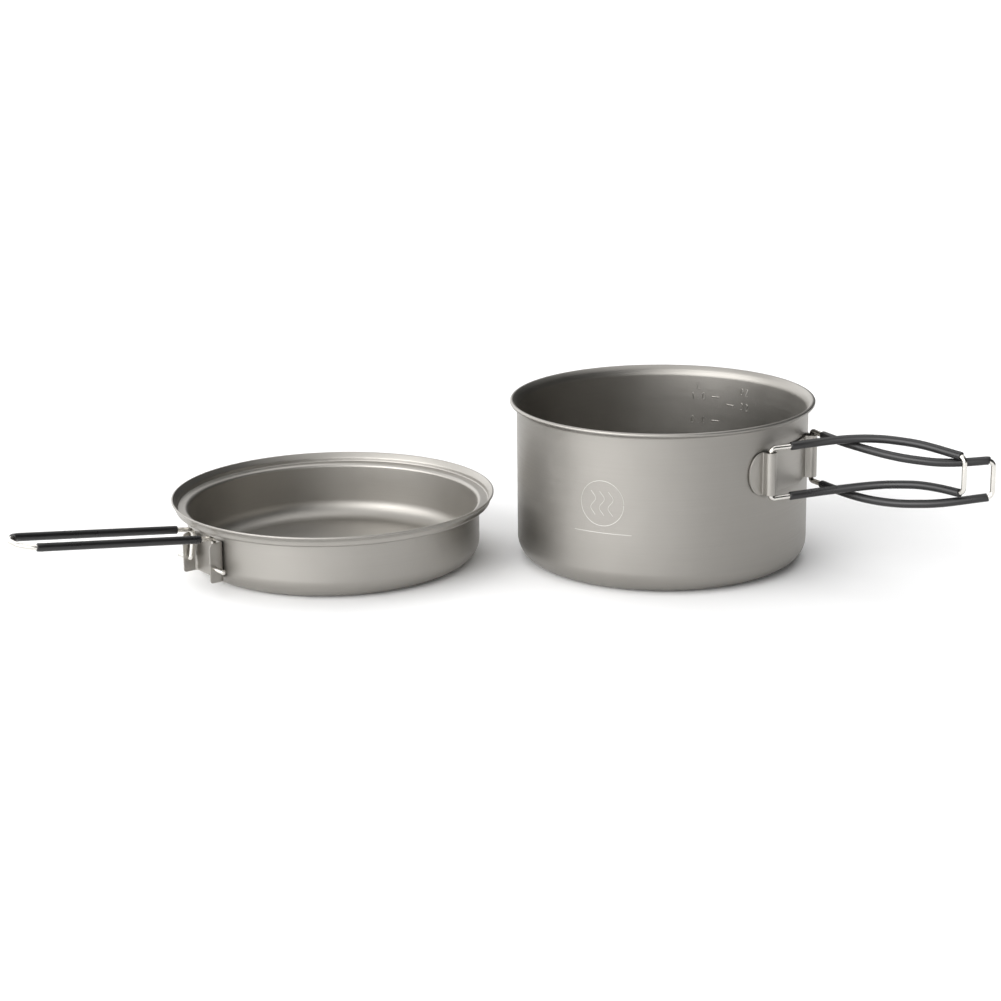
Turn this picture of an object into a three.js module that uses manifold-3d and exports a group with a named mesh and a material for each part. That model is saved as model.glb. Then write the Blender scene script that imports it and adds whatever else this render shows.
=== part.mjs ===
// Camping cook set: a pot and a frying pan of thin sheet, with folding wire handles.
// The pan turned over is also the pot's lid.
// Millimetres, +Z up, origin at the centre of the pot's flat bottom.

import * as THREE from 'three';
import { mergeVertices } from 'three/addons/utils/BufferGeometryUtils.js';
import Module from 'manifold-3d';

const wasm = await Module();
wasm.setup();

// ---- driving dimensions -------------------------------------------------------------

const SHEET = 0.8;                  // wall of both vessels
const GAP = 0.3;                    // running clearance between separate pieces
const LATHE_SEGMENTS = 60;

const POT_HEIGHT = 80;
const POT_RADIUS = 71.7;            // outside of the wall
const POT_CORNER = 11;              // outside bend between bottom and wall
const RIM_RADIUS = 75;              // outside of the rolled rim
const RIM_BEAD = 1;                 // radius of the rolled rim's section
const RIM_FLARE = 3.6;              // height over which the wall flares out to the rim

const PAN_HEIGHT = 33.5;
const PAN_RADIUS = 72.6;
const PAN_CORNER = 10;
const LEDGE_HEIGHT = 29;            // inside face of the step that sits on the pot's rim
const LEDGE_RADIUS = 76.8;          // where the step turns up into the lip
const LIP_RADIUS = 80;
const LIP_NECK_HEIGHT = 1.9;        // steep foot of the lip, above the step, before it flares
const PAN_X = -163.5;               // centre of the pan, beside the pot

const POT_BRACKET_AZIMUTH = -35.2;  // degrees, from +X towards +Y
const BARREL_SPREAD = 15.65;        // degrees from the bracket's middle to each barrel
const BARREL_RADIUS = 75.2;         // barrel axes, from the pot's axis
const BARREL_WALL = 2.7;            // outside radius of a barrel
const BRACKET_HEIGHT = 20.8;
const BRACKET_MIDDLE = 56;          // height of the bracket's middle
const PLATE = 1.2;

const WIRE = 1.2;                   // radius of all handle wire
const SLEEVE = 2.0;                 // outside radius of the silicone sleeves
const SLEEVE_BORE = 1.5;

const ARM_CURVE = 78;               // plan radius of a pot handle, to hug the folded wall
const NEAR_HEADING = 21.6;          // plan direction in which each handle leaves its barrel
const FAR_HEADING = -69.5;
const NEAR_LENGTH = 95.5;
const FAR_LENGTH = 99.5;
const ROOT_HALF_HEIGHT = 12.2;      // half the height of a loop near its barrel
const TIP_HALF_HEIGHT = 8.9;
const BOW = 3.3;                    // the near loop bows up and the far loop down
const TIP_BOW = 0.35;               // share of the bow that is left at the tip
const LIFT = 2.4;                   // both loops stand a little proud of level at the tip
const ROOT_BEND = 1.9;              // where a wire comes out of its barrel
const TIP_BEND = 3.2;
const BARE_RUN = 6;                 // straight wire from the root bend
const ARM_STEPS = 12;
const SLEEVE_START = 10;           // bare wire before each sleeve, from the barrel

const PAN_HANDLE_AZIMUTH = -142;
const PEG_RADIUS = 77.4;            // hinge axis of the pan's handle, from the pan's axis
const PEG_HEIGHT = 12;
const PEG_END = 20.5;                // free end of each peg, from the handle's middle
const LEG_OFFSET = 9.5;             // legs, from the handle's middle
const ARM_OFFSET = 10.75;
const LEG_LENGTH = 14.4;
const PEG_BEND = 1.7;               // between each peg and its leg
const KNEE_BEND = 3;                // between each leg and its arm
const SPLAY_REACH = 10;             // where the arms turn parallel
const SPLAY_BEND = 20;
const SLEEVE_REACH = 6.5;           // where the sleeves start
const HANDLE_RISE = 8.5;            // degrees above level
const HANDLE_REACH = 101;           // from the hinge axis to the end bar
const HANDLE_CORNER = 9.5;          // bends at the ends of the end bar
const EAR_OFFSET = 11.4;
const EAR_THICKNESS = 0.8;
const EAR_TIP = 79.9;
const EAR_LOW = 5;
const EAR_HIGH = 24.6;
const SLOT_WIDTH = 3;
const SLOT_TOP = 21;

// ---- materials ----------------------------------------------------------------------

const metal = (color, roughness) =>
  new THREE.MeshStandardMaterial({ color, roughness, metalness: 1 });
const TITANIUM = metal(0xa6a29b, 0.42);
const BRACKET_SHEET = metal(0xaaa69f, 0.38);
const BRIGHT_WIRE = metal(0xc9c7c0, 0.2);
const SILICONE = new THREE.MeshStandardMaterial({ color: 0x38373a, roughness: 0.6, metalness: 0 });

// ---- small helpers ------------------------------------------------------------------

const rad = THREE.MathUtils.degToRad;
const smooth = THREE.MathUtils.smoothstep;
const v3 = (x, y, z) => new THREE.Vector3(x, y, z);
const polar = (radius, azimuth, z) =>
  v3(radius * Math.cos(rad(azimuth)), radius * Math.sin(rad(azimuth)), z);

function toSolid(geometry) {
  const plain = geometry.clone();
  plain.deleteAttribute('normal');
  plain.deleteAttribute('uv');
  const merged = mergeVertices(plain, 1e-4);
  return new wasm.Manifold(new wasm.Mesh({
    numProp: 3,
    vertProperties: Float32Array.from(merged.attributes.position.array),
    triVerts: Uint32Array.from(merged.index.array),
  }));
}

function toGeometry(solid) {
  const { vertProperties, triVerts } = solid.getMesh();
  const geometry = new THREE.BufferGeometry();
  geometry.setAttribute('position', new THREE.BufferAttribute(vertProperties, 3));
  geometry.setIndex(new THREE.BufferAttribute(triVerts, 1));
  geometry.computeVertexNormals();
  return geometry;
}

const joined = (...solids) => solids.reduce((all, one) => all.add(one));

function named(name, geometry, material) {
  const mesh = new THREE.Mesh(geometry, material);
  mesh.name = name;
  return mesh;
}

// Points of an arc in a lathe profile, angles in degrees from the radial direction.
function arc(radial, height, radius, from, to, steps) {
  return Array.from({ length: steps + 1 }, (_, i) => {
    const angle = rad(from + (to - from) * i / steps);
    return new THREE.Vector2(radial + radius * Math.cos(angle), height + radius * Math.sin(angle));
  });
}

// A profile turned about Z. Lathe profiles turn about Y, so the result is stood up.
function turned(profile) {
  return new THREE.LatheGeometry(profile, LATHE_SEGMENTS).rotateX(Math.PI / 2);
}

// A wire's route: straight from vertex to vertex, with an arc at each vertex that has a bend.
const BEND_STEPS = 4;
function bent(vertices) {
  return vertices.flatMap(({ at, bend = 0 }, i) => {
    if (!bend) return [at];
    const back = vertices[i - 1].at.clone().sub(at).normalize();
    const ahead = vertices[i + 1].at.clone().sub(at).normalize();
    const half = back.angleTo(ahead) / 2;
    const centre = at.clone().addScaledVector(back.clone().add(ahead).normalize(), bend / Math.sin(half));
    const start = at.clone().addScaledVector(back, bend / Math.tan(half)).sub(centre);
    const axis = ahead.clone().cross(back).normalize();
    return Array.from({ length: BEND_STEPS + 1 }, (_, k) =>
      start.clone().applyAxisAngle(axis, (Math.PI - 2 * half) * k / BEND_STEPS).add(centre));
  });
}

// The route as a curve that is sampled only at its own points, so that bends get the
// cross-sections and straight runs don't. Each section halves the corner that it stands on.
class Route extends THREE.Curve {
  constructor(points) {
    super();
    this.points = points;
  }
  index(t) {
    return Math.round(t * (this.points.length - 1));
  }
  getPoint(t) {
    return this.points[this.index(t)].clone();
  }
  getPointAt(t) {
    return this.getPoint(t);
  }
  getSpacedPoints(divisions) {
    return this.getPoints(divisions);
  }
  getTangentAt(t) {
    const i = this.index(t);
    const here = this.points[i];
    const before = this.points[i - 1];
    const after = this.points[i + 1];
    const tangent = v3(0, 0, 0);
    if (before) tangent.add(here.clone().sub(before).normalize());
    if (after) tangent.add(after.clone().sub(here).normalize());
    return tangent.normalize();
  }
}

function swept(points, radius, bore = 0) {
  const section = new THREE.Shape().absarc(0, 0, radius, 0, 2 * Math.PI);
  if (bore) section.holes.push(new THREE.Path().absarc(0, 0, bore, 0, 2 * Math.PI, true));
  return new THREE.ExtrudeGeometry(section, {
    steps: points.length - 1,
    curveSegments: 5,
    extrudePath: new Route(points),
  });
}

// ---- the two vessels ----------------------------------------------------------------

function potShell() {
  const inner = POT_RADIUS - SHEET;
  const foot = POT_RADIUS - POT_CORNER;
  const beadRadial = RIM_RADIUS - RIM_BEAD;
  const beadHeight = POT_HEIGHT - RIM_BEAD;
  return turned([
    new THREE.Vector2(0, 0),
    ...arc(foot, POT_CORNER, POT_CORNER, -90, 0, 6),
    new THREE.Vector2(POT_RADIUS, POT_HEIGHT - RIM_FLARE),
    new THREE.Vector2(POT_RADIUS + SHEET, POT_HEIGHT - 0.67 * RIM_FLARE),
    ...arc(beadRadial, beadHeight, RIM_BEAD, -130, 130, 8),
    new THREE.Vector2(inner + 1.5 * SHEET, POT_HEIGHT - 0.55 * RIM_FLARE),
    new THREE.Vector2(inner + 0.4 * SHEET, POT_HEIGHT - 0.9 * RIM_FLARE),
    new THREE.Vector2(inner, POT_HEIGHT - 1.15 * RIM_FLARE),
    ...arc(foot, POT_CORNER, POT_CORNER - SHEET, 0, -90, 6),
    new THREE.Vector2(0, SHEET),
  ]);
}

function panShell() {
  const inner = PAN_RADIUS - SHEET;
  const foot = PAN_RADIUS - PAN_CORNER;
  const underLedge = LEDGE_HEIGHT - SHEET;
  const neck = LEDGE_RADIUS + 0.9;
  return turned([
    new THREE.Vector2(0, 0),
    ...arc(foot, PAN_CORNER, PAN_CORNER, -90, 0, 6),
    new THREE.Vector2(PAN_RADIUS, underLedge - 1.2),
    new THREE.Vector2(PAN_RADIUS + 1.2, underLedge),
    new THREE.Vector2(LEDGE_RADIUS + SHEET, underLedge),
    new THREE.Vector2(neck + SHEET, LEDGE_HEIGHT + LIP_NECK_HEIGHT),
    ...arc(LIP_RADIUS - SHEET / 2, PAN_HEIGHT - SHEET / 2, SHEET / 2, -30, 150, 4),
    new THREE.Vector2(neck, LEDGE_HEIGHT + LIP_NECK_HEIGHT),
    new THREE.Vector2(LEDGE_RADIUS + 0.4, LEDGE_HEIGHT),
    new THREE.Vector2(PAN_RADIUS + 0.6, LEDGE_HEIGHT),
    new THREE.Vector2(inner, LEDGE_HEIGHT - 1.3),
    ...arc(foot, PAN_CORNER, PAN_CORNER - SHEET, 0, -90, 6),
    new THREE.Vector2(0, SHEET),
  ]);
}

// ---- the pot's welded hinge plate ---------------------------------------------------

// Built with its middle on +X, then turned to its place on the wall.
function potBracket() {
  const inside = POT_RADIUS + GAP;
  const outside = inside + PLATE;
  const half = BRACKET_HEIGHT / 2;
  const spread = rad(BARREL_SPREAD);
  const reach = spread + half / inside;
  const band = new THREE.Shape()
    .absarc(0, 0, outside, -reach, reach)
    .absarc(0, 0, inside, reach, -reach, true);
  const plate = new THREE.ExtrudeGeometry(band, { depth: BRACKET_HEIGHT, bevelEnabled: false, curveSegments: 16 })
    .translate(0, 0, -half);

  // The plate's outline seen from outside: straight edges with a half-round lobe at each end.
  const lobe = inside * Math.sin(spread);
  const outline = new THREE.Shape()
    .absarc(lobe, 0, half, -Math.PI / 2, Math.PI / 2)
    .absarc(-lobe, 0, half, Math.PI / 2, 1.5 * Math.PI);
  const cutter = new THREE.ExtrudeGeometry(outline, { depth: outside, bevelEnabled: false, curveSegments: 10 })
    .rotateX(Math.PI / 2)
    .rotateZ(Math.PI / 2);

  const barrels = [-spread, spread].map((angle) => {
    const barrel = new THREE.CylinderGeometry(BARREL_WALL, BARREL_WALL, BRACKET_HEIGHT, 16);
    return toSolid(barrel.rotateX(Math.PI / 2)
      .translate(BARREL_RADIUS * Math.cos(angle), BARREL_RADIUS * Math.sin(angle), 0));
  });
  const bores = [-spread, spread].map((angle) => {
    const bore = new THREE.CylinderGeometry(SLEEVE_BORE, SLEEVE_BORE, BRACKET_HEIGHT + 2, 16);
    return toSolid(bore.rotateX(Math.PI / 2)
      .translate(BARREL_RADIUS * Math.cos(angle), BARREL_RADIUS * Math.sin(angle), 0));
  });
  const solid = joined(toSolid(plate).intersect(toSolid(cutter)), ...barrels).subtract(joined(...bores));
  return toGeometry(solid).rotateZ(rad(POT_BRACKET_AZIMUTH)).translate(0, 0, BRACKET_MIDDLE);
}

// ---- the pot's two handles ----------------------------------------------------------

// side is -1 for the near handle and +1 for the far one, which bend opposite ways.
function potHandle(side, heading, length) {
  const root = polar(BARREL_RADIUS, POT_BRACKET_AZIMUTH + side * BARREL_SPREAD, 0);

  // Plan point at a distance along the handle, which curves away from its heading.
  const plan = (along) => {
    const swing = along / ARM_CURVE;
    const start = rad(heading);
    return root.clone().add(v3(
      side * ARM_CURVE * (Math.sin(start + side * swing) - Math.sin(start)),
      side * ARM_CURVE * (Math.cos(start) - Math.cos(start + side * swing)),
      0,
    ));
  };
  const middle = (share) => {
    const eased = 1 - (1 - TIP_BOW) * smooth(share, 0.7, 1.04);
    return BRACKET_MIDDLE + LIFT * share - side * BOW * smooth(share, 0.05, 0.62) * eased;
  };
  const halfHeight = (share) =>
    TIP_HALF_HEIGHT + (ROOT_HALF_HEIGHT - TIP_HALF_HEIGHT) * (1 - smooth(share, 0.3, 1));
  const armPoint = (along, level) => {
    const share = along / length;
    return plan(along).setZ(middle(share) + level * halfHeight(share));
  };

  // The sleeves share their stations with the wire inside, so that both bend alike.
  const last = length - TIP_BEND - 0.5;
  const stations = Array.from({ length: ARM_STEPS + 1 }, (_, i) =>
    SLEEVE_START + (last - SLEEVE_START) * i / ARM_STEPS);
  const sleeved = (level) => stations.map((along) => armPoint(along, level));
  const armOut = [armPoint(BARE_RUN, 1), ...sleeved(1)];
  const armBack = [armPoint(BARE_RUN, -1), ...sleeved(-1)].reverse();

  const half = BRACKET_HEIGHT / 2;
  const inBarrel = (level) => root.clone().setZ(BRACKET_MIDDLE + level * (half - 4));
  const overBarrel = (level) => root.clone().setZ(BRACKET_MIDDLE + level * (half + 2));
  const wire = bent([
    { at: inBarrel(1) },
    { at: overBarrel(1), bend: ROOT_BEND },
    ...armOut.map((at) => ({ at })),
    { at: armPoint(length, 1), bend: TIP_BEND },
    { at: armPoint(length, -1), bend: TIP_BEND },
    ...armBack.map((at) => ({ at })),
    { at: overBarrel(-1), bend: ROOT_BEND },
    { at: inBarrel(-1) },
  ]);
  return {
    wire: swept(wire, WIRE),
    upper: swept(sleeved(1), SLEEVE, SLEEVE_BORE),
    lower: swept(sleeved(-1), SLEEVE, SLEEVE_BORE),
  };
}

// ---- the pan's welded bracket and its handle ----------------------------------------

// Both are built with the handle pointing along +X from the pan's axis, then turned.
function placedAtPan(geometry) {
  return geometry.rotateZ(rad(PAN_HANDLE_AZIMUTH)).translate(PAN_X, 0, 0);
}

function panBracket() {
  const back = PAN_RADIUS + GAP;
  const outline = new THREE.Shape()
    .moveTo(back, EAR_LOW)
    .lineTo(EAR_TIP - 1, EAR_LOW)
    .absarc(EAR_TIP - 1, EAR_LOW + 1, 1, -Math.PI / 2, 0)
    .lineTo(EAR_TIP, EAR_HIGH - 2)
    .absarc(EAR_TIP - 2, EAR_HIGH - 2, 2, 0, Math.PI / 2)
    .lineTo(back, EAR_HIGH);
  const slot = new THREE.Path()
    .absarc(PEG_RADIUS, PEG_HEIGHT, SLOT_WIDTH / 2, Math.PI, 2 * Math.PI)
    .absarc(PEG_RADIUS, SLOT_TOP, SLOT_WIDTH / 2, 0, Math.PI);
  outline.holes.push(slot);
  const ear = new THREE.ExtrudeGeometry(outline, { depth: EAR_THICKNESS, bevelEnabled: false, curveSegments: 6 })
    .rotateX(Math.PI / 2);
  const outer = EAR_OFFSET + EAR_THICKNESS / 2;
  const web = new THREE.BoxGeometry(SHEET, 2 * outer - 0.1, EAR_HIGH - EAR_LOW)
    .translate(back + SHEET / 2, 0, (EAR_HIGH + EAR_LOW) / 2);
  const solid = joined(
    toSolid(web),
    toSolid(ear.clone().translate(0, outer, 0)),
    toSolid(ear.clone().translate(0, EAR_THICKNESS - outer, 0)),
  );
  return placedAtPan(toGeometry(solid));
}

function panHandle() {
  // Along the raised handle: reach outwards from the hinge axis, and lift square to it.
  const tilt = rad(HANDLE_RISE);
  const at = (reach, side, lift) => v3(
    PEG_RADIUS + reach * Math.cos(tilt) - lift * Math.sin(tilt),
    side,
    PEG_HEIGHT + reach * Math.sin(tilt) + lift * Math.cos(tilt),
  );
  const wire = bent([
    { at: at(0, PEG_END, 0) },
    { at: at(0, LEG_OFFSET, 0), bend: PEG_BEND },
    { at: at(0, LEG_OFFSET, LEG_LENGTH), bend: KNEE_BEND },
    { at: at(SPLAY_REACH, ARM_OFFSET, LEG_LENGTH), bend: SPLAY_BEND },
    { at: at(HANDLE_REACH, ARM_OFFSET, LEG_LENGTH), bend: HANDLE_CORNER },
    { at: at(HANDLE_REACH, -ARM_OFFSET, LEG_LENGTH), bend: HANDLE_CORNER },
    { at: at(SPLAY_REACH, -ARM_OFFSET, LEG_LENGTH), bend: SPLAY_BEND },
    { at: at(0, -LEG_OFFSET, LEG_LENGTH), bend: KNEE_BEND },
    { at: at(0, -LEG_OFFSET, 0), bend: PEG_BEND },
    { at: at(0, -PEG_END, 0) },
  ]);
  const sleeveStart = LEG_OFFSET + (ARM_OFFSET - LEG_OFFSET) * SLEEVE_REACH / SPLAY_REACH;
  const sleeve = (side) => swept(bent([
    { at: at(SLEEVE_REACH, side * sleeveStart, LEG_LENGTH) },
    { at: at(SPLAY_REACH, side * ARM_OFFSET, LEG_LENGTH), bend: SPLAY_BEND },
    { at: at(HANDLE_REACH - HANDLE_CORNER, side * ARM_OFFSET, LEG_LENGTH) },
  ]), SLEEVE, SLEEVE_BORE);
  return {
    wire: placedAtPan(swept(wire, WIRE)),
    left: placedAtPan(sleeve(-1)),
    right: placedAtPan(sleeve(1)),
  };
}

// ---- assembly -----------------------------------------------------------------------

const set = new THREE.Group();

const pot = new THREE.Group();
pot.add(
  named('pot_shell', potShell(), TITANIUM),
  named('pot_hinge_plate', potBracket(), BRACKET_SHEET),
);

const near = potHandle(-1, NEAR_HEADING, NEAR_LENGTH);
const far = potHandle(1, FAR_HEADING, FAR_LENGTH);
for (const [side, handle] of [['near', near], ['far', far]]) {
  pot.add(
    named(`${side}_handle_wire`, handle.wire, BRIGHT_WIRE),
    named(`${side}_handle_upper_sleeve`, handle.upper, SILICONE),
    named(`${side}_handle_lower_sleeve`, handle.lower, SILICONE),
  );
}

const pan = new THREE.Group();
const panGrip = panHandle();
pan.add(
  named('pan_shell', panShell().translate(PAN_X, 0, 0), TITANIUM),
  named('pan_hinge_bracket', panBracket(), BRACKET_SHEET),
  named('pan_handle_wire', panGrip.wire, BRIGHT_WIRE),
  named('pan_handle_left_sleeve', panGrip.left, SILICONE),
  named('pan_handle_right_sleeve', panGrip.right, SILICONE),
);

set.add(pot, pan);
export default set;
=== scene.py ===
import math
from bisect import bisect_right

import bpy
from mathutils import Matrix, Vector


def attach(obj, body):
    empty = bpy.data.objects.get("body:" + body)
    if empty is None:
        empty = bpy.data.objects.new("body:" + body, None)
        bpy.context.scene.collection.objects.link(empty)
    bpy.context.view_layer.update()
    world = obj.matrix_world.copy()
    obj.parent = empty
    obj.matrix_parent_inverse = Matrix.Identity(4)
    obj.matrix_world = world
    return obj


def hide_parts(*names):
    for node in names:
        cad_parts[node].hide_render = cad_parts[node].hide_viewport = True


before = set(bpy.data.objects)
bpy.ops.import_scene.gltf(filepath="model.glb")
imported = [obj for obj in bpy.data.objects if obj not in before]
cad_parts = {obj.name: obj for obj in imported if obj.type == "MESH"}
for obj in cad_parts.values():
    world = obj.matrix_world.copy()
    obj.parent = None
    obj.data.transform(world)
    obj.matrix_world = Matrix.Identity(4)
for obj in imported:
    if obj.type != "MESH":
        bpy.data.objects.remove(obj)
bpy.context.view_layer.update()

# Looks of a camping cook set: a pot and a frying pan of bead-blasted titanium sheet, with
# folding loops of bright wire in silicone sleeves.
#
# The frame is the CAD's: origin at the centre of the pot's flat bottom, +Z up, the pan at -X,
# seen from -Y. Lengths below are millimetres, and new_piece() turns them into metres.

# ---- driving dimensions, as in the CAD ------------------------------------------------

MM = 0.001
SHEET = 0.8                 # wall of both vessels and of both brackets
GAP = 0.3                   # between a bracket and its wall
TURNED_SIDES = 192

POT_HEIGHT = 80
POT_RADIUS = 71.7
POT_CORNER = 11
RIM_RADIUS = 75
RIM_BEAD = 1.0              # radius of the rolled rim's section
RIM_FLARE = 3.6             # height over which the wall flares out to the rim

PAN_HEIGHT = 33.5
PAN_RADIUS = 72.6
PAN_CORNER = 10
LEDGE_HEIGHT = 29           # the step that sits on the pot's rim
LEDGE_RADIUS = 76.8
LIP_RADIUS = 80
LIP_NECK_HEIGHT = 1.9       # steep foot of the lip, before it flares
PAN_X = -163.5              # centre of the pan, beside the pot

POT_BRACKET_AZIMUTH = -35.2
BARREL_SPREAD = 15.65       # degrees from the bracket's middle to each barrel
BARREL_RADIUS = 75.2        # barrel axes, from the pot's axis
BARREL_WALL = 2.7           # outside radius of a barrel
BARREL_FOOT = 0.35          # bend between a barrel and the flat sheet
BRACKET_HEIGHT = 20.8
BRACKET_MIDDLE = 56

WIRE = 1.2                  # radii
SLEEVE = 2.0
SLEEVE_BORE = 1.35

ARM_CURVE = 78              # plan radius of a pot handle
NEAR_HEADING = 21.6         # plan direction in which each handle leaves its barrel
FAR_HEADING = -69.5
NEAR_LENGTH = 95.5
FAR_LENGTH = 99.5
ROOT_HALF_HEIGHT = 12.2
TIP_HALF_HEIGHT = 8.9
BOW = 3.3                   # the near loop bows up and the far loop down
TIP_BOW = 0.35              # share of the bow that is left at the tip
LIFT = 2.4
ROOT_BEND = 1.9             # where a wire comes out of its barrel
TIP_BEND = 3.2
BARE_RUN = 6                # straight wire from the root bend
SLEEVE_START = 10
SLEEVE_INTO_BEND = 1.6
ARM_STEPS = 40

PAN_HANDLE_AZIMUTH = -142
PEG_RADIUS = 77.4           # hinge axis of the pan's handle, from the pan's axis
PEG_HEIGHT = 12
PEG_END = 20.5              # free end of each peg, from the handle's middle
LEG_OFFSET = 9.5
ARM_OFFSET = 10.75
LEG_LENGTH = 14.4
PEG_BEND = 1.7
KNEE_BEND = 3
SPLAY_REACH = 10            # where the arms turn parallel
SPLAY_BEND = 20
SLEEVE_REACH = 6.5          # where the sleeves start
HANDLE_RISE = 8.5           # degrees above level
HANDLE_REACH = 101
HANDLE_CORNER = 9.5         # bends at the ends of the end bar
LEFT_SLEEVE_INTO_BEND = 5.5
RIGHT_SLEEVE_INTO_BEND = 3.0
EAR_OFFSET = 11.4
EAR_TIP = 79.9
EAR_LOW = 5
EAR_HIGH = 24.6
EAR_TOP_ROUND = 2.2
EAR_LOW_ROUND = 1.2
SLOT_WIDTH = 3
SLOT_TOP = 21

CAMERA_PLACE = (-80.2, -1151.2, 352.3)
CAMERA_LENS = 86.3
CAMERA_DOWN = 15.73         # degrees below level
CAMERA_ROLL = -0.69
FLOOR_HALF = 6000
FLOOR_DROP = 0.2            # below the vessels' bottoms, so that the faces don't fight

SHARP = 32                  # degrees at which an edge stops being shaded smooth: on sheet,
SOFT_SHARP = 50             # on wires and sleeves,
LINE_SHARP = 80             # and on graduations and etched lines

rad = math.radians


# ---- camera, floor and light ----------------------------------------------------------

def make_camera():
    camera = bpy.data.cameras.new("camera")
    camera.lens = CAMERA_LENS
    camera.sensor_width = 36
    holder = bpy.data.objects.new("camera", camera)
    holder.rotation_mode = "XYZ"
    holder.location = Vector(CAMERA_PLACE) * MM
    holder.rotation_euler = (rad(90 - CAMERA_DOWN), 0, 0)
    holder.rotation_euler.rotate_axis("Z", rad(CAMERA_ROLL))
    bpy.context.scene.collection.objects.link(holder)
    bpy.context.scene.camera = holder


def make_floor(material):
    half = FLOOR_HALF * MM
    corners = [(-half, -half, 0), (half, -half, 0), (half, half, 0), (-half, half, 0)]
    mesh = bpy.data.meshes.new("floor")
    mesh.from_pydata(corners, [], [(0, 1, 2, 3)])
    mesh.materials.append(material)
    floor = bpy.data.objects.new("floor", mesh)
    floor.location.z = -FLOOR_DROP * MM
    bpy.context.scene.collection.objects.link(floor)


# Each softbox: heading (0 is straight behind the object, seen from the camera, and positive turns
# to the right), height above the horizon, half width where it starts to fade, half width where it
# ends, and strength.
SOFTBOXES = [
    (-160, 14, 4, 46, 2.6),
    (-120, 14, 4, 46, 4.3),
    (-80, 14, 4, 46, 0.4),
    (-40, 14, 4, 46, 2.1),
    (0, 55, 6, 46, 0.6),
    (0, 90, 8, 46, 1.5),
]
AMBIENT = 0.03


def make_world():
    """Softboxes on a sphere far away, which the camera itself sees as plain white."""
    world = bpy.data.worlds.new("studio")
    world.use_nodes = True
    tree = world.node_tree
    tree.nodes.clear()
    out = tree.nodes.new("ShaderNodeOutputWorld")
    seen = tree.nodes.new("ShaderNodeBackground")
    lighting = tree.nodes.new("ShaderNodeBackground")
    chosen = tree.nodes.new("ShaderNodeMixShader")
    path = tree.nodes.new("ShaderNodeLightPath")
    place = tree.nodes.new("ShaderNodeTexCoord")
    total = None
    for heading, height, inner, outer, strength in SOFTBOXES:
        level = math.cos(rad(height))
        towards = (
            level * math.sin(rad(heading)),
            level * math.cos(rad(heading)),
            math.sin(rad(height)),
        )
        facing = tree.nodes.new("ShaderNodeVectorMath")
        facing.operation = "DOT_PRODUCT"
        facing.inputs[1].default_value = towards
        tree.links.new(place.outputs["Generated"], facing.inputs[0])
        glow = tree.nodes.new("ShaderNodeMapRange")
        glow.interpolation_type = "SMOOTHSTEP"
        glow.inputs["From Min"].default_value = math.cos(rad(outer))
        glow.inputs["From Max"].default_value = math.cos(rad(inner))
        glow.inputs["To Max"].default_value = strength
        tree.links.new(facing.outputs["Value"], glow.inputs["Value"])
        add = tree.nodes.new("ShaderNodeMath")
        add.inputs[0].default_value = AMBIENT
        if total:
            tree.links.new(total.outputs[0], add.inputs[0])
        tree.links.new(glow.outputs["Result"], add.inputs[1])
        total = add
    tree.links.new(total.outputs[0], lighting.inputs["Strength"])
    lighting.inputs["Color"].default_value = (1, 1, 1, 1)
    seen.inputs["Color"].default_value = (1, 1, 1, 1)
    tree.links.new(path.outputs["Is Camera Ray"], chosen.inputs[0])
    tree.links.new(lighting.outputs[0], chosen.inputs[1])
    tree.links.new(seen.outputs[0], chosen.inputs[2])
    tree.links.new(chosen.outputs[0], out.inputs["Surface"])
    bpy.context.scene.world = world
    bpy.context.scene.view_settings.view_transform = "Standard"


# ---- materials ------------------------------------------------------------------------

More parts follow.
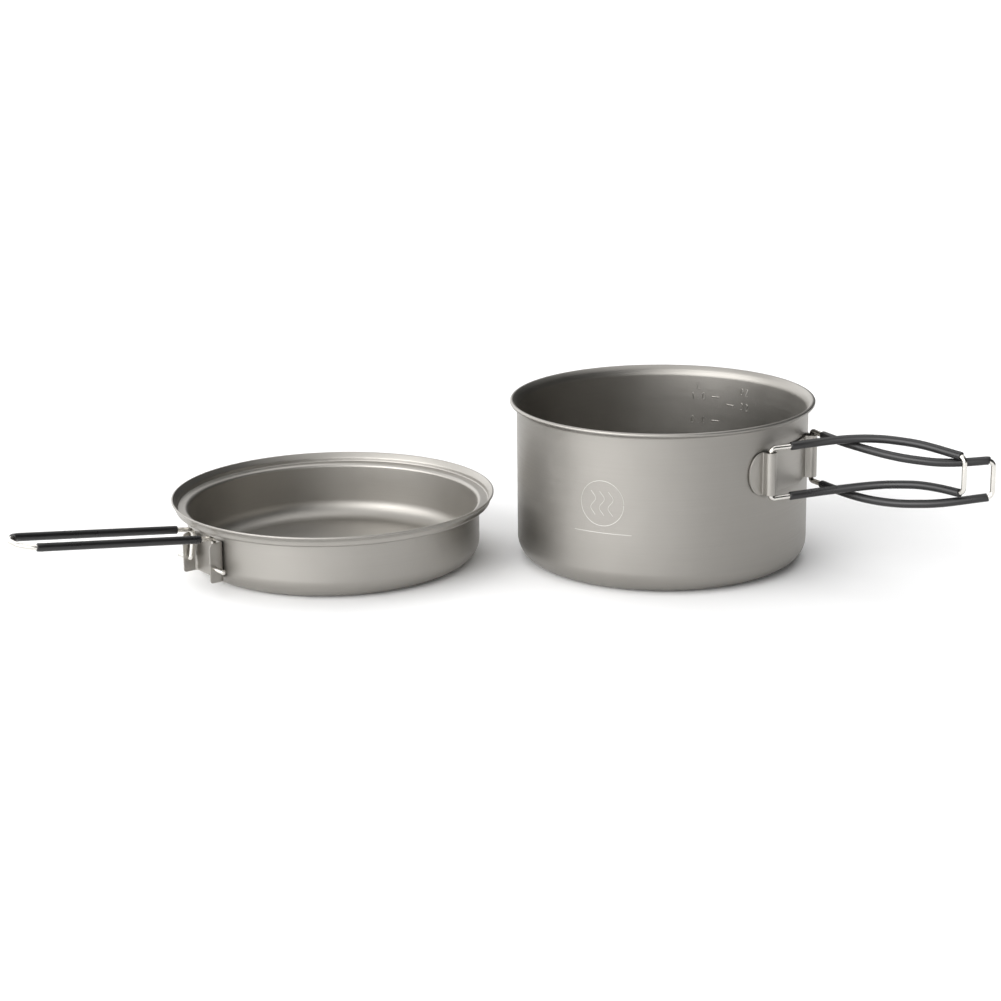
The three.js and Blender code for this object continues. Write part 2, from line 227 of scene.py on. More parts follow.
class Shader:
    """A material around one Principled shader, with short ways to add and join nodes."""

    def __init__(self, name, color, metallic, roughness, specular=0.5):
        self.material = bpy.data.materials.new(name)
        self.material.use_nodes = True
        self.tree = self.material.node_tree
        self.principled = self.tree.nodes["Principled BSDF"]
        self.set("Base Color", (*color, 1))
        self.set("Metallic", metallic)
        self.set("Roughness", roughness)
        self.set("Specular IOR Level", specular)

    def set(self, socket, value):
        self.principled.inputs[socket].default_value = value

    def drive(self, socket, output):
        self.tree.links.new(output, self.principled.inputs[socket])

    def node(self, kind, link=None, **values):
        made = self.tree.nodes.new("ShaderNode" + kind)
        for key, value in values.items():
            if hasattr(made, key):
                setattr(made, key, value)
            else:
                made.inputs[key.replace("_", " ")].default_value = value
        if link:
            self.tree.links.new(link, made.inputs[0])
        return made

    def place(self):
        return self.node("TexCoord").outputs["Object"]

    def stretched(self, scale, place=None):
        mapping = self.node("Mapping", place or self.place())
        mapping.inputs["Scale"].default_value = scale
        return mapping.outputs[0]

    def noise(self, place, scale, detail=2.0, roughness=0.5):
        return self.node("TexNoise", place, Scale=scale, Detail=detail, Roughness=roughness).outputs["Fac"]

    def ranged(self, value, low, high, start=0.0, end=1.0):
        made = self.node("MapRange", value)
        made.inputs["From Min"].default_value = start
        made.inputs["From Max"].default_value = end
        made.inputs["To Min"].default_value = low
        made.inputs["To Max"].default_value = high
        return made.outputs["Result"]

    def tinted(self, factor, dark, light):
        mix = self.node("Mix", data_type="RGBA")
        self.tree.links.new(factor, mix.inputs["Factor"])
        mix.inputs[6].default_value = (*dark, 1)
        mix.inputs[7].default_value = (*light, 1)
        return mix.outputs[2]

    def summed(self, one, other):
        made = self.node("Math", one)
        self.tree.links.new(other, made.inputs[1])
        return made.outputs[0]

    def bump(self, height, strength, distance, under=None):
        made = self.node("Bump", Strength=strength, Distance=distance)
        self.tree.links.new(height, made.inputs["Height"])
        if under:
            self.tree.links.new(under, made.inputs["Normal"])
        self.drive("Normal", made.outputs[0])
        return made.outputs[0]

    def around(self, centre_x):
        """Object coordinates as (turns round the vessel's axis, radius, height)."""
        shifted = self.node("VectorMath", self.place(), operation="SUBTRACT")
        shifted.inputs[1].default_value = (centre_x * MM, 0, 0)
        split = self.node("SeparateXYZ", shifted.outputs[0])
        angle = self.node("Math", split.outputs["Y"], operation="ARCTAN2")
        self.tree.links.new(split.outputs["X"], angle.inputs[1])
        flat = self.node("VectorMath", shifted.outputs[0], operation="MULTIPLY")
        flat.inputs[1].default_value = (1, 1, 0)
        radius = self.node("VectorMath", flat.outputs[0], operation="LENGTH")
        joined = self.node("CombineXYZ", angle.outputs[0])
        self.tree.links.new(radius.outputs["Value"], joined.inputs["Y"])
        self.tree.links.new(split.outputs["Z"], joined.inputs["Z"])
        return joined.outputs[0]


TITANIUM_DARK = (0.288, 0.276, 0.256)
TITANIUM_LIGHT = (0.33, 0.317, 0.296)


def titanium(name, centre_x, roughness=0.44, lighter=1.0):
    """Fine bead-blasted sheet, with the faint lines that turning left and soft colour clouds."""
    dark = [lighter * part for part in TITANIUM_DARK]
    light = [lighter * part for part in TITANIUM_LIGHT]
    shader = Shader(name, light, 1.0, roughness)
    grain = shader.noise(shader.place(), 5200, 3, 0.6)
    clouds = shader.noise(shader.place(), 34, 3, 0.55)
    lines = shader.noise(shader.stretched((1.2, 2600, 2600), shader.around(centre_x)), 1.0, 3, 0.55)
    shader.drive("Base Color", shader.tinted(clouds, dark, light))
    worn = shader.summed(
        shader.ranged(clouds, -0.03, 0.03, 0.3, 0.7),
        shader.ranged(lines, roughness - 0.035, roughness + 0.035, 0.3, 0.7),
    )
    shader.drive("Roughness", worn)
    blasted = shader.bump(grain, 0.35, 0.00012)
    shader.bump(lines, 0.12, 0.00006, blasted)
    return shader.material


def etched():
    """The etched mark is a little lighter and smoother than the blasted sheet round it."""
    shader = Shader("etched_titanium", (0.43, 0.42, 0.395), 1.0, 0.4)
    grain = shader.noise(shader.place(), 7000, 2)
    shader.drive("Roughness", shader.ranged(grain, 0.36, 0.46, 0.3, 0.7))
    shader.bump(grain, 0.3, 0.00005)
    return shader.material


def bright_wire():
    shader = Shader("bright_wire", (0.74, 0.72, 0.68), 1.0, 0.2)
    drawn = shader.noise(shader.place(), 900, 3)
    marks = shader.noise(shader.place(), 140, 4, 0.7)
    shader.drive("Base Color", shader.tinted(marks, (0.6, 0.58, 0.54), (0.82, 0.8, 0.76)))
    shader.drive("Roughness", shader.ranged(marks, 0.14, 0.3, 0.3, 0.7))
    shader.bump(drawn, 0.15, 0.00008)
    return shader.material


def silicone():
    shader = Shader("silicone", (0.012, 0.012, 0.013), 0.0, 0.3, 0.45)
    skin = shader.noise(shader.place(), 2600, 3)
    dust = shader.noise(shader.place(), 60, 4, 0.65)
    shader.drive("Base Color", shader.tinted(dust, (0.009, 0.009, 0.0095), (0.018, 0.0175, 0.018)))
    shader.drive("Roughness", shader.ranged(dust, 0.24, 0.36, 0.3, 0.7))
    shader.bump(skin, 0.2, 0.0001)
    return shader.material


def floor_paint():
    shader = Shader("floor_paint", (0.93, 0.93, 0.93), 0.0, 0.9, 0.1)
    fibre = shader.noise(shader.place(), 30, 2)
    shader.drive("Base Color", shader.tinted(fibre, (0.92, 0.92, 0.92), (0.94, 0.94, 0.94)))
    return shader.material


# ---- mesh helpers ---------------------------------------------------------------------

def new_piece(name, vertices, faces, body, slot, material, replaces=(), sharp=SHARP):
    mesh = bpy.data.meshes.new(name)
    mesh.from_pydata([Vector(v) * MM for v in vertices], [], faces)
    mesh.validate()
    mesh.polygons.foreach_set("use_smooth", [True] * len(mesh.polygons))
    mesh.set_sharp_from_angle(angle=rad(sharp))
    mesh.materials.append(material)
    piece = bpy.data.objects.new(name, mesh)
    bpy.context.scene.collection.objects.link(piece)
    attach(piece, body)
    if replaces:
        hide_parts(*replaces)
    return piece


def polar(radius, azimuth, height=0.0):
    return Vector((radius * math.cos(rad(azimuth)), radius * math.sin(rad(azimuth)), height))


def smooth(value, start, end):
    share = min(max((value - start) / (end - start), 0), 1)
    return share * share * (3 - 2 * share)


def bent(corners, step=7):
    """Points through (place, bend radius) corners: an arc at each corner that has a bend."""
    places = [Vector(place).to_3d() for place, _ in corners]
    points = []
    for i, (_, bend) in enumerate(corners):
        here = places[i]
        if not bend:
            points.append(here)
            continue
        back = (places[i - 1] - here).normalized()
        ahead = (places[i + 1] - here).normalized()
        half = back.angle(ahead) / 2
        centre = here + (back + ahead).normalized() * (bend / math.sin(half))
        start = here + back * (bend / math.tan(half)) - centre
        axis = ahead.cross(back).normalized()
        turn = math.pi - 2 * half
        count = max(2, math.ceil(math.degrees(turn) / step))
        points += [centre + Matrix.Rotation(turn * k / count, 3, axis) @ start for k in range(count + 1)]
    return points


def arc(radial, height, radius, start, end, step=12):
    """Arc in a turned outline, angles in degrees from the radial direction."""
    count = max(2, math.ceil(abs(end - start) / step))
    angles = [rad(start + (end - start) * k / count) for k in range(count + 1)]
    return [Vector((radial + radius * math.cos(a), height + radius * math.sin(a), 0)) for a in angles]


def turned(outline, centre_x):
    """Vertices and faces of an outline of (radius, height) points turned about a vertical axis."""
    vertices, faces, rings = [], [], []
    for point in outline:
        if point.x < 1e-6:
            rings.append([len(vertices)])
            vertices.append((centre_x, 0, point.y))
            continue
        rings.append(list(range(len(vertices), len(vertices) + TURNED_SIDES)))
        for k in range(TURNED_SIDES):
            spot = polar(point.x, 360 * k / TURNED_SIDES, point.y)
            vertices.append((spot.x + centre_x, spot.y, spot.z))
    for low, high in zip(rings, rings[1:]):
        for k in range(TURNED_SIDES):
            after = (k + 1) % TURNED_SIDES
            if len(low) == 1:
                faces.append((low[0], high[after], high[k]))
            elif len(high) == 1:
                faces.append((low[k], low[after], high[0]))
            else:
                faces.append((low[k], low[after], high[after], high[k]))
    return vertices, faces


class Route:
    """A path through points, with a steady frame along it for sweeping sections."""

    def __init__(self, points):
        self.points = [p for i, p in enumerate(points) if i == 0 or (p - points[i - 1]).length > 1e-4]
        self.lengths = [0.0]
        for a, b in zip(self.points, self.points[1:]):
            self.lengths.append(self.lengths[-1] + (b - a).length)
        self.length = self.lengths[-1]
        last = len(self.points) - 1
        self.tangents = [
            (self.points[min(i + 1, last)] - self.points[max(i - 1, 0)]).normalized()
            for i in range(last + 1)
        ]
        side = self.tangents[0].orthogonal().normalized()
        self.sides = [side]
        for before, after in zip(self.tangents, self.tangents[1:]):
            side = before.rotation_difference(after) @ side
            self.sides.append(side.normalized())

    def nearest(self, place):
        """How far along the path its closest point to a place is."""
        gaps = [(point - place).length for point in self.points]
        return self.lengths[gaps.index(min(gaps))]

    def at(self, along):
        """Place and the two cross directions at a distance along the path."""
        i = min(max(bisect_right(self.lengths, along) - 1, 0), len(self.points) - 2)
        share = (along - self.lengths[i]) / (self.lengths[i + 1] - self.lengths[i])
        tangent = self.tangents[i].lerp(self.tangents[i + 1], share).normalized()
        side = self.sides[i].lerp(self.sides[i + 1], share)
        side = (side - tangent * side.dot(tangent)).normalized()
        return self.points[i].lerp(self.points[i + 1], share), side, tangent.cross(side)


def swept(route, rings, sides=20, closed=False):
    """Vertices and faces of round sections on a route: rings of (distance along, radius)."""
    vertices, faces = [], []
    for along, radius in rings:
        middle, side, other = route.at(along)
        for k in range(sides):
            angle = 2 * math.pi * k / sides
            vertices.append(middle + side * (radius * math.cos(angle)) + other * (radius * math.sin(angle)))
    pairs = list(zip(range(len(rings) - 1), range(1, len(rings))))
    if closed:
        pairs.append((len(rings) - 1, 0))
    for low, high in pairs:
        for k in range(sides):
            after = (k + 1) % sides
            faces.append((low * sides + k, low * sides + after, high * sides + after, high * sides + k))
    if not closed:
        faces.append(tuple(reversed(range(sides))))
        faces.append(tuple(range((len(rings) - 1) * sides, len(rings) * sides)))
    return vertices, faces


def wire_rings(route, radius, nose=0.35):
    """A wire with slightly rounded ends."""
    start = [(0, radius - nose), (nose * 0.3, radius - nose * 0.3), (nose, radius)]
    end = [(route.length - along, size) for along, size in reversed(start)]
    inner = [along for along in route.lengths if nose * 1.5 < along < route.length - nose * 1.5]
    return start + [(along, radius) for along in inner] + end


def sleeve_rings(route, start, end, lip=0.22):
    """A sleeve over part of a wire's route, with a soft lip at each end, and its bore."""
    inner = [along for along in route.lengths if start + 0.6 < along < end - 0.6]
    outside = [(start, SLEEVE - lip), (start + lip * 0.35, SLEEVE - lip * 0.3), (start + lip * 1.4, SLEEVE)]
    outside += [(along, SLEEVE) for along in inner]
    outside += [(end - lip * 1.4, SLEEVE), (end - lip * 0.35, SLEEVE - lip * 0.3), (end, SLEEVE - lip)]
    bore = [(end, SLEEVE_BORE), *[(along, SLEEVE_BORE) for along in reversed(inner)], (start, SLEEVE_BORE)]
    return outside + bore


def sheet_strip(stations, thickness, bevel=0.18):
    """Vertices and faces of a bent strip: stations of (place on the outer face, inward, low, high)."""
    vertices, faces = [], []
    for place, inward, low, high in stations:
        edge = min(bevel, (high - low) * 0.2)
        section = [
            (0, low + edge), (0, high - edge), (bevel, high), (thickness - bevel, high),
            (thickness, high - edge), (thickness, low + edge), (thickness - bevel, low), (bevel, low),
        ]
        for depth, height in section:
            vertices.append(Vector((place.x, place.y, height)) + inward * depth)
    count = 8
    for i in range(len(stations) - 1):
        for k in range(count):
            after = (k + 1) % count
            here, there = i * count, (i + 1) * count
            faces.append((here + k, here + after, there + after, there + k))
    faces.append(tuple(reversed(range(count))))
    faces.append(tuple(range((len(stations) - 1) * count, len(stations) * count)))
    return vertices, faces


def subdivided(points, longest):
    made = [points[0]]
    for a, b in zip(points, points[1:]):
        count = max(1, math.ceil((b - a).length / longest))
        made += [a.lerp(b, (k + 1) / count) for k in range(count)]
    return made


# ---- the two vessels ------------------------------------------------------------------

def pot_outline():
    """Flat bottom, round corner, straight wall, and a top that flares out to a small rolled bead."""
    inner = POT_RADIUS - SHEET
    bead = (RIM_RADIUS - RIM_BEAD, POT_HEIGHT - RIM_BEAD)
    outside = [
        ((0, 0), 0), ((25, 0), 0), ((50, 0), 0),
        ((POT_RADIUS, 0), POT_CORNER),
        ((POT_RADIUS, 30), 0), ((POT_RADIUS, 50), 0), ((POT_RADIUS, 70), 0),
        ((POT_RADIUS, POT_HEIGHT - RIM_FLARE + 0.6), 1.6),
        ((bead[0] - RIM_BEAD * 0.75, bead[1] - RIM_BEAD * 0.8), 0),
    ]
    inside = [
        ((bead[0] - RIM_BEAD * 0.64, bead[1] + RIM_BEAD * 0.77), 0),
        ((inner + 1.1, POT_HEIGHT - 1.9), 3.6),
        ((inner, POT_HEIGHT - RIM_FLARE - 0.6), 5),
        ((inner, 60), 0), ((inner, 40), 0), ((inner, 20), 0),
        ((inner, SHEET), POT_CORNER - SHEET),
        ((50, SHEET), 0), ((25, SHEET), 0), ((0, SHEET), 0),
    ]
    return bent(outside, 5) + arc(*bead, RIM_BEAD, -122, 122, 10) + bent(inside, 5)


def pan_outline():
    """As the pot, with a step that sits on the pot's rim and a lip that goes round it."""
    inner = PAN_RADIUS - SHEET
    under = LEDGE_HEIGHT - SHEET
    lip = LIP_RADIUS
    neck = LEDGE_RADIUS + 0.9
    corners = [
        ((0, 0), 0), ((25, 0), 0), ((50, 0), 0),
        ((PAN_RADIUS, 0), PAN_CORNER),
        ((PAN_RADIUS, under), 1.3),
        ((LEDGE_RADIUS + 1.3, under), 1.3),
        ((neck + SHEET - 0.1, LEDGE_HEIGHT + LIP_NECK_HEIGHT), 2.4),
        ((lip, PAN_HEIGHT - 0.7), 0.2),
        ((lip - 0.05, PAN_HEIGHT), 0.3),
        ((lip - 0.8, PAN_HEIGHT), 0.3),
        ((neck - 0.35, LEDGE_HEIGHT + LIP_NECK_HEIGHT), 1.6),
        ((LEDGE_RADIUS + 0.4, LEDGE_HEIGHT), 0.7),
        ((inner, LEDGE_HEIGHT), 1.8),
        ((inner, 18), 0),
        ((inner, SHEET), PAN_CORNER - SHEET),
        ((50, SHEET), 0), ((25, SHEET), 0), ((0, SHEET), 0),
    ]
    return bent(corners, 6)


# ---- graduations on the pot's inner wall, and the etched mark --------------------------

# Each glyph is a list of strokes on a grid one wide and two high.
GLYPHS = {
    "0": [[(0.15, 0.3), (0.15, 1.7), (0.5, 2), (0.85, 1.7), (0.85, 0.3), (0.5, 0), (0.15, 0.3)]],
    "1": [[(0.3, 1.6), (0.6, 2), (0.6, 0)]],
    "2": [[(0.1, 1.6), (0.5, 2), (0.9, 1.6), (0.85, 1.2), (0.1, 0), (0.9, 0)]],
    "3": [[(0.1, 1.8), (0.5, 2), (0.9, 1.5), (0.5, 1.05), (0.9, 0.5), (0.5, 0), (0.1, 0.2)]],
    "4": [[(0.7, 0), (0.7, 2), (0.1, 0.6), (0.95, 0.6)]],
    "6": [[(0.8, 1.8), (0.4, 1.7), (0.15, 1), (0.15, 0.3), (0.5, 0), (0.85, 0.35), (0.85, 0.8), (0.5, 1.1),
           (0.15, 0.8)]],
    "8": [[(0.5, 1.05), (0.15, 1.5), (0.5, 2), (0.85, 1.5), (0.5, 1.05), (0.1, 0.5), (0.5, 0), (0.9, 0.5),
           (0.5, 1.05)]],
    ".": [[(0.4, 0), (0.6, 0)]],
    "L": [[(0.2, 2), (0.2, 0), (0.85, 0)]],
    "O": [[(0.15, 0.4), (0.15, 1.6), (0.5, 2), (0.85, 1.6), (0.85, 0.4), (0.5, 0), (0.15, 0.4)]],
    "Z": [[(0.1, 2), (0.9, 2), (0.1, 0), (0.9, 0)]],
}
DIGIT_HEIGHT = 3.6
DIGIT_PITCH = 2.9
STROKE = 0.26
INNER_WALL = POT_RADIUS - SHEET
METRIC_AZIMUTH = 63.0
OUNCE_AZIMUTH = 56.2
DASH_LENGTH = 4.4
LITRE_STEP = 0.2
OUNCE_LITRES = 0.02957


def level_of(litres):
    """Height of the surface of so many litres in the pot."""
    area = math.pi * INNER_WALL ** 2
    corner_loss = 2 * math.pi * (INNER_WALL - 4) * 0.215 * (POT_CORNER - SHEET) ** 2
    return SHEET + (litres * 1e6 + corner_loss) / area


def raised_stroke(points, radius):
    """A rounded ridge along a line on the wall, tapered at its ends."""
    route = Route(points)
    taper = radius
    start = [(0, radius * 0.15), (taper * 0.3, radius * 0.7), (taper, radius)]
    end = [(route.length - along, size) for along, size in reversed(start)]
    inner = [along for along in route.lengths if taper * 1.3 < along < route.length - taper * 1.3]
    return swept(route, start + [(along, radius) for along in inner] + end, sides=10)


def on_wall(radius, azimuth, across, height):
    """A point of a drawing on a round wall, where across runs along the wall in millimetres."""
    return polar(radius, azimuth + math.degrees(across / radius), height)


def joined(meshes):
    vertices, faces = [], []
    for part_vertices, part_faces in meshes:
        shift = len(vertices)
        vertices += part_vertices
        faces += [tuple(i + shift for i in face) for face in part_faces]
    return vertices, faces


def label(text, azimuth, middle_height):
    """Text read from inside the pot, so that it runs towards smaller azimuths, centred on its place."""
    scale = DIGIT_HEIGHT / 2
    start = -DIGIT_PITCH * len(text) / 2
    meshes = []
    for i, letter in enumerate(text):
        for stroke in GLYPHS[letter]:
            line = [
                on_wall(INNER_WALL + 0.02, azimuth, -(start + i * DIGIT_PITCH + x * scale),
                        middle_height + (y - 1) * scale)
                for x, y in stroke
            ]
            meshes.append(raised_stroke(line, STROKE))
    return meshes


def dash(azimuth, height):
    line = [on_wall(INNER_WALL + 0.05, azimuth, DASH_LENGTH * (k / 6 - 0.5), height) for k in range(7)]
    return raised_stroke(line, 0.42)


def graduations():
    meshes = []
    for step in range(1, 6):
        litres = step * LITRE_STEP
        meshes.append(dash(METRIC_AZIMUTH, level_of(litres)))
        meshes += label(f"{litres:.1f}", METRIC_AZIMUTH + 7.2, level_of(litres))
    for ounces in (8, 16, 24, 32):
        meshes.append(dash(OUNCE_AZIMUTH, level_of(ounces * OUNCE_LITRES)))
        meshes += label(str(ounces), OUNCE_AZIMUTH - 7.2, level_of(ounces * OUNCE_LITRES))
    top = level_of(1.0) + 5.4
    meshes += label("L", METRIC_AZIMUTH + 7.2, top)
    meshes += label("OZ", OUNCE_AZIMUTH - 7.2, top - 1)
    return joined(meshes)


MARK_AZIMUTH = -117
MARK_HEIGHT = 44


def mark_line(points):
    """A hair-thin line etched on the outside of the pot's wall."""
    place = [on_wall(POT_RADIUS - 0.18, MARK_AZIMUTH, across, MARK_HEIGHT + up) for across, up in points]
    return raised_stroke(place, 0.24)


def etched_mark():
    """A plain ring round three waves of steam, over a short line."""
    ring = [(11 * math.cos(rad(a)), 11 * math.sin(rad(a))) for a in range(0, 361, 8)]
    meshes = [mark_line(ring)]
    for across in (-4.5, 0, 4.5):
        wave = [(across + 1.3 * math.sin(rad(up * 40)), up) for up in [k * 0.6 - 6 for k in range(21)]]
        meshes.append(mark_line(wave))
    base = [(-15 + k * 2, -14.5) for k in range(16)]
    meshes.append(mark_line(base))
    return joined(meshes)


# ---- the pot's hinge plate --------------------------------------------------------------

def plate_stations():
    """The pressed sheet in plan: flat lobes, a raised barrel near each end, and a flat middle."""
    base = POT_RADIUS + GAP
    barrel = base * rad(BARREL_SPREAD)
    rise = BARREL_RADIUS - base + BARREL_WALL
    half = BRACKET_HEIGHT / 2
    lobe = half - BARREL_WALL

    top_bend = BARREL_WALL - 0.02

    def hump(centre):
        left, right = centre - BARREL_WALL, centre + BARREL_WALL
        return [
            ((left, SHEET), BARREL_FOOT),
            ((left, rise), top_bend),
            ((right, rise), top_bend),
            ((right, SHEET), BARREL_FOOT),
        ]

    start = barrel + BARREL_WALL + BARREL_FOOT + 0.1
    corners = [((-start, SHEET), 0), *hump(-barrel), *hump(barrel), ((start, SHEET), 0)]
    body = subdivided(bent(corners, 10), 2.5)
    steps = 14
    turns = [rad(88 * k / steps) for k in range(1, steps + 1)]
    tip = [(start + lobe * math.sin(turn), half * math.cos(turn)) for turn in turns]
    line = [(-along, SHEET, height) for along, height in reversed(tip)]
    line += [(p.x, p.y, half) for p in body]
    line += [(along, SHEET, height) for along, height in tip]

    flat = [Vector((along, rise_here, 0)) for along, rise_here, _ in line]
    stations = []
    for i, (along, rise_here, height) in enumerate(line):
        ahead = (flat[min(i + 1, len(flat) - 1)] - flat[max(i - 1, 0)]).normalized()
        inward = Vector((ahead.y, -ahead.x, 0))
        azimuth = POT_BRACKET_AZIMUTH + math.degrees(along / base)
        out = polar(1, azimuth)
        around = polar(1, azimuth + 90)
        place = out * (base + rise_here)
        stations.append((place, out * inward.y + around * inward.x,
                         BRACKET_MIDDLE - height, BRACKET_MIDDLE + height))
    return stations


# ---- the pot's handles ------------------------------------------------------------------

def pot_handle(side, heading, length):
    """Route of the wire, and where its two sleeves start and end on it.

    side is -1 for the near handle and +1 for the far one.
    """
    root = polar(BARREL_RADIUS, POT_BRACKET_AZIMUTH + side * BARREL_SPREAD)

    def plan(along):
        swing = side * along / ARM_CURVE
        start = rad(heading)
        return root + side * ARM_CURVE * Vector((
            math.sin(start + swing) - math.sin(start),
            math.cos(start) - math.cos(start + swing),
            0,
        ))

    def arm_point(along, level):
        share = along / length
        bow = BOW * smooth(share, 0.05, 0.62) * (1 - (1 - TIP_BOW) * smooth(share, 0.7, 1.04))
        middle = BRACKET_MIDDLE + LIFT * share - side * bow
        spread = ROOT_HALF_HEIGHT - TIP_HALF_HEIGHT
        half = TIP_HALF_HEIGHT + spread * (1 - smooth(share, 0.3, 1))
        point = plan(along)
        point.z = middle + level * half
        return point

    last = length - TIP_BEND - 0.5
    stations = [SLEEVE_START + (last - SLEEVE_START) * k / ARM_STEPS for k in range(ARM_STEPS + 1)]
    sleeves = [[arm_point(along, level) for along in stations] for level in (1, -1)]
    half = BRACKET_HEIGHT / 2

    def at_barrel(offset):
        return Vector((root.x, root.y, BRACKET_MIDDLE + offset))

    corners = [(at_barrel(half - 4), 0), (at_barrel(half + 2), ROOT_BEND), (arm_point(BARE_RUN, 1), 0)]
    corners += [(point, 0) for point in sleeves[0]]
    corners += [(arm_point(length, 1), TIP_BEND), (arm_point(length, -1), TIP_BEND)]
    corners += [(point, 0) for point in reversed(sleeves[1])]
    corners += [(arm_point(BARE_RUN, -1), 0), (at_barrel(-half - 2), ROOT_BEND), (at_barrel(4 - half), 0)]
    loop = Route(bent(corners))
    upper = (loop.nearest(sleeves[0][0]), loop.nearest(sleeves[0][-1]) + SLEEVE_INTO_BEND)
    lower = (loop.nearest(sleeves[1][-1]) - SLEEVE_INTO_BEND, loop.nearest(sleeves[1][0]))
    return loop, [upper, lower]


# ---- the pan's bracket and handle ---------------------------------------------------------

def at_pan(point):
    """From the bracket's own axes, with the handle along +X from the pan's axis, to the frame."""
    turned_point = Matrix.Rotation(rad(PAN_HANDLE_AZIMUTH), 3, "Z") @ Vector(point)
    return turned_point + Vector((PAN_X, 0, 0))


def rounded_corner(radius, from_end):
    """How much a round corner of a sheet takes off its edge at a distance from its end."""
    return radius - math.sqrt(max(0, radius ** 2 - max(0, radius - from_end) ** 2))


def ear_stations():
    """The U-shaped sheet in plan: ear, web against the wall, ear."""
    back = PAN_RADIUS + GAP
    side = EAR_OFFSET + SHEET / 2
    corners = [((EAR_TIP, -side), 0), ((back, -side), 1.5), ((back, side), 1.5), ((EAR_TIP, side), 0)]
    line = bent(corners, 12)
    tip_steps = [0.12, 0.3, 0.55, 0.85, 1.2, 1.6, 2.0, 3.2]
    ahead = [Vector((EAR_TIP - step, side, 0)) for step in reversed(tip_steps)]
    behind = [Vector((p.x, -p.y, 0)) for p in reversed(ahead)]
    line = [line[0], *behind, *subdivided(line[1:-1], 2.5), *ahead, line[-1]]

    stations = []
    for i, point in enumerate(line):
        run = (line[min(i + 1, len(line) - 1)] - line[max(i - 1, 0)]).normalized()
        inward = Vector((-run.y, run.x, 0))
        from_tip = EAR_TIP - point.x
        low = EAR_LOW + rounded_corner(EAR_LOW_ROUND, from_tip)
        high = EAR_HIGH - rounded_corner(EAR_TOP_ROUND, from_tip)
        stations.append((point, inward, low, high))
    return stations


def slot_cutter():
    """A prism with round ends through both ears."""
    half = SLOT_WIDTH / 2
    outline = arc(PEG_RADIUS, PEG_HEIGHT, half, -180, 0, 15) + arc(PEG_RADIUS, SLOT_TOP, half, 0, 180, 15)
    reach = EAR_OFFSET + 3
    count = len(outline)
    vertices = [(point.x, y, point.y) for y in (-reach, reach) for point in outline]
    faces = [(k, (k + 1) % count, count + (k + 1) % count, count + k) for k in range(count)]
    faces += [tuple(reversed(range(count))), tuple(range(count, 2 * count))]
    mesh = bpy.data.meshes.new("slot_cutter")
    mesh.from_pydata([at_pan(v) * MM for v in vertices], [], faces)
    cutter = bpy.data.objects.new("slot_cutter", mesh)
    bpy.context.scene.collection.objects.link(cutter)
    return cutter


def cut_slots(piece, cutter):
    """Runs a difference boolean with the cutter and leaves a plain mesh. The cutter's faces point inwards,
    so the slots show only as edges and are not cut through.
    """
    cut = piece.modifiers.new("slots", "BOOLEAN")
    cut.operation = "DIFFERENCE"
    cut.solver = "EXACT"
    cut.object = cutter
    depsgraph = bpy.context.evaluated_depsgraph_get()
    mesh = bpy.data.meshes.new_from_object(piece.evaluated_get(depsgraph))
    piece.modifiers.clear()
    piece.data = mesh
    mesh.set_sharp_from_angle(angle=rad(SHARP))
    bpy.data.objects.remove(cutter)


def pan_handle():
    """Route of the wire, and where its two sleeves start and end on it."""
    tilt = rad(HANDLE_RISE)

    def at(reach, side, lift):
        return at_pan((
            PEG_RADIUS + reach * math.cos(tilt) - lift * math.sin(tilt),
            side,
            PEG_HEIGHT + reach * math.sin(tilt) + lift * math.cos(tilt),
        ))

    def half_loop(side):
        return [
            (at(0, side * PEG_END, 0), 0),
            (at(0, side * LEG_OFFSET, 0), PEG_BEND),
            (at(0, side * LEG_OFFSET, LEG_LENGTH), KNEE_BEND),
            (at(SPLAY_REACH, side * ARM_OFFSET, LEG_LENGTH), SPLAY_BEND),
            (at(HANDLE_REACH, side * ARM_OFFSET, LEG_LENGTH), HANDLE_CORNER),
        ]

    loop = Route(bent(half_loop(1) + half_loop(-1)[::-1]))
    sleeve_start = LEG_OFFSET + (ARM_OFFSET - LEG_OFFSET) * SLEEVE_REACH / SPLAY_REACH
    straight_end = HANDLE_REACH - HANDLE_CORNER
    bare = [loop.nearest(at(SLEEVE_REACH, side * sleeve_start, LEG_LENGTH)) for side in (1, -1)]
    ends = [loop.nearest(at(straight_end, side * ARM_OFFSET, LEG_LENGTH)) for side in (1, -1)]
    right = (bare[0], ends[0] + RIGHT_SLEEVE_INTO_BEND)
    left = (ends[1] - LEFT_SLEEVE_INTO_BEND, bare[1])
    return loop, [left, right]


# ---- building everything ------------------------------------------------------------------

make_camera()
make_world()
make_floor(floor_paint())

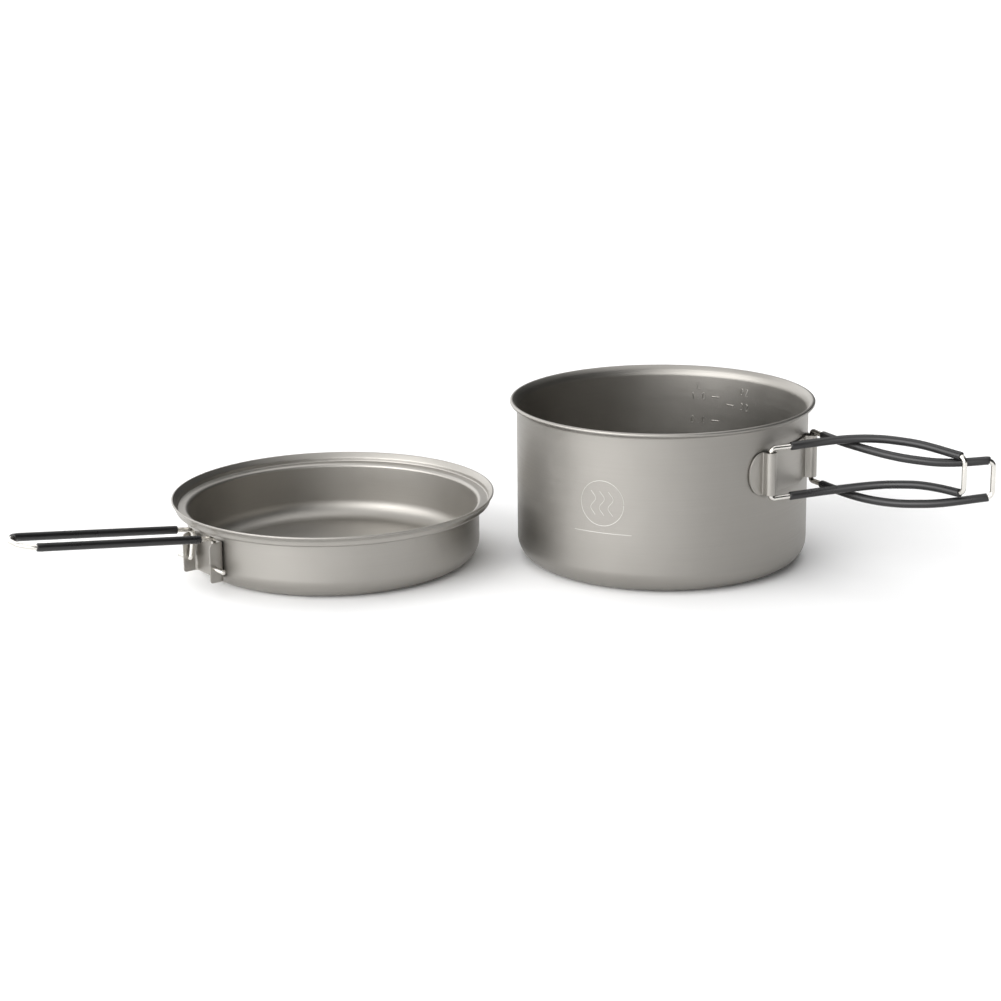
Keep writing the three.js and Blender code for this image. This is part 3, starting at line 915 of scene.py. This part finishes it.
pot_metal = titanium("pot_titanium", 0)
pan_metal = titanium("pan_titanium", PAN_X, lighter=1.15)
bracket_metal = titanium("bracket_titanium", 0, 0.38, 1.15)
wire_metal = bright_wire()
rubber = silicone()

new_piece("pot_body", *turned(pot_outline(), 0), "pot", "vessel_sheet", pot_metal, ["pot_shell"])
new_piece("pot_graduations", *graduations(), "pot", "vessel_sheet", pot_metal, sharp=LINE_SHARP)
new_piece("pot_etched_mark", *etched_mark(), "pot", "vessel_sheet", etched(), sharp=LINE_SHARP)
new_piece("pot_pressed_plate", *sheet_strip(plate_stations(), SHEET), "pot", "bracket_sheet",
          bracket_metal, ["pot_hinge_plate"])
new_piece("pan_body", *turned(pan_outline(), PAN_X), "pan", "vessel_sheet", pan_metal, ["pan_shell"])

ear_vertices, ear_faces = sheet_strip(ear_stations(), SHEET)
bracket = new_piece("pan_bent_bracket", [at_pan(v) for v in ear_vertices], ear_faces, "pan",
                    "bracket_sheet", bracket_metal, ["pan_hinge_bracket"])
cut_slots(bracket, slot_cutter())

for side_name, side, heading, length in [
    ("near", -1, NEAR_HEADING, NEAR_LENGTH),
    ("far", 1, FAR_HEADING, FAR_LENGTH),
]:
    loop, sleeves = pot_handle(side, heading, length)
    body = f"{side_name}_handle"
    new_piece(f"{side_name}_loop", *swept(loop, wire_rings(loop, WIRE)), body, "bright_wire",
              wire_metal, [f"{side_name}_handle_wire"], SOFT_SHARP)
    for level_name, span in zip(("upper", "lower"), sleeves):
        tube = swept(loop, sleeve_rings(loop, *span), closed=True)
        new_piece(f"{side_name}_{level_name}_tube", *tube, body, "silicone", rubber,
                  [f"{side_name}_handle_{level_name}_sleeve"], SOFT_SHARP)

loop, sleeves = pan_handle()
new_piece("pan_loop", *swept(loop, wire_rings(loop, WIRE)), "pan_handle", "bright_wire",
          wire_metal, ["pan_handle_wire"], SOFT_SHARP)
for side_name, span in zip(("left", "right"), sleeves):
    tube = swept(loop, sleeve_rings(loop, *span), closed=True)
    new_piece(f"pan_{side_name}_tube", *tube, "pan_handle", "silicone", rubber,
              [f"pan_handle_{side_name}_sleeve"], SOFT_SHARP)
